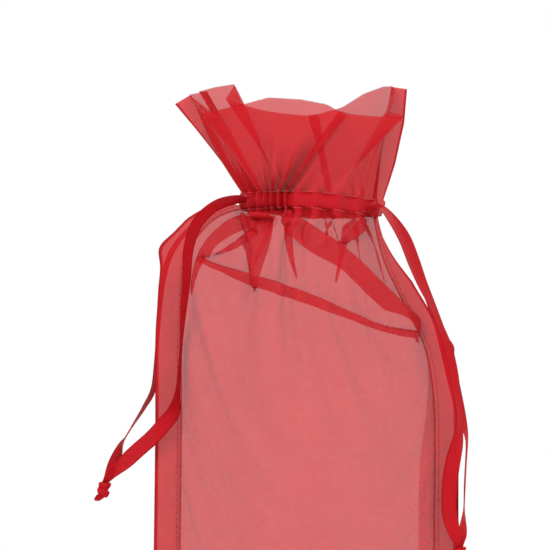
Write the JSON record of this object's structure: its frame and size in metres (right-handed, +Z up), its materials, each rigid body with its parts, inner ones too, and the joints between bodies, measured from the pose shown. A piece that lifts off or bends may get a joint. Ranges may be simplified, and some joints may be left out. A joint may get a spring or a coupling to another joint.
{
  "type": "drawstring gift bag",
  "caption": "Tall sheer organza gift bag for a wine bottle, cinched at the neck by two ribbon drawstrings under a flared ruffle.",
  "frame": {"origin": "middle of the flat base, on the surface that the bag stands on", "axes": "+Z up from the base to the ruffle, -Y is the front face, -X is the side with the shorter ribbon ends"},
  "size_m": [0.1559, 0.083, 0.2997],
  "materials": {
    "organza_red": "sheer nylon organza, soft sheen",
    "ribbon_red": "satin ribbon",
    "thread_red": "matt sewing thread"
  },
  "bodies": {
    "bag": {"front_panel": "organza_red", "back_panel": "organza_red", "bottom_panel": "organza_red", "left_side_seam": "organza_red", "right_side_seam": "organza_red", "left_seam_stitching": "thread_red", "right_seam_stitching": "thread_red"},
    "mouth_front": {"front_header": "organza_red", "front_channel": "organza_red", "front_channel_lower_stitching": "thread_red", "front_channel_upper_stitching": "thread_red", "left_ribbon_front_run": "ribbon_red", "right_ribbon_front_run": "ribbon_red"},
    "mouth_back": {"back_header": "organza_red", "back_channel": "organza_red", "back_channel_lower_stitching": "thread_red", "back_channel_upper_stitching": "thread_red", "left_ribbon_back_run": "ribbon_red", "right_ribbon_back_run": "ribbon_red"},
    "left_tail": {"left_ribbon_front_strand": "ribbon_red", "left_ribbon_back_strand": "ribbon_red"},
    "left_knot_body": {"left_knot": "ribbon_red"},
    "right_tail": {"right_ribbon_front_strand": "ribbon_red", "right_ribbon_back_strand": "ribbon_red"},
    "right_knot_body": {"right_knot": "ribbon_red"}
  },
  "joints": [
    {"name": "front_mouth_slide", "type": "slide", "parent": "bag", "child": "mouth_front", "axis": [0, -1, 0], "range_m": [0, 0.03]},
    {"name": "back_mouth_slide", "type": "slide", "parent": "bag", "child": "mouth_back", "axis": [0, 1, 0], "range_m": [0, 0.03]},
    {"name": "left_tail_swing", "type": "hinge", "parent": "bag", "child": "left_tail", "pos_m": [-0.027, 0, 0.257], "axis": [0, 1, 0], "range_deg": [0, 65]},
    {"name": "right_tail_swing", "type": "hinge", "parent": "bag", "child": "right_tail", "pos_m": [0.027, 0, 0.2545], "axis": [0, -1, 0], "range_deg": [0, 75]},
    {"name": "left_ribbon_slide", "type": "slide", "parent": "left_tail", "child": "left_knot_body", "axis": [0, 0, 1], "range_m": [0, 0.049], "deforming": ["left_ribbon_front_strand", "left_ribbon_back_strand"]},
    {"name": "right_ribbon_slide", "type": "slide", "parent": "right_tail", "child": "right_knot_body", "axis": [0, 0, 1], "range_m": [0, 0.049], "deforming": ["right_ribbon_front_strand", "right_ribbon_back_strand"]}
  ],
  "couplings": [
    {"joint": "back_mouth_slide", "follows": "front_mouth_slide", "ratio": 1},
    {"joint": "left_ribbon_slide", "follows": "front_mouth_slide", "ratio": 1.6333},
    {"joint": "right_ribbon_slide", "follows": "front_mouth_slide", "ratio": 1.6333}
  ]
}
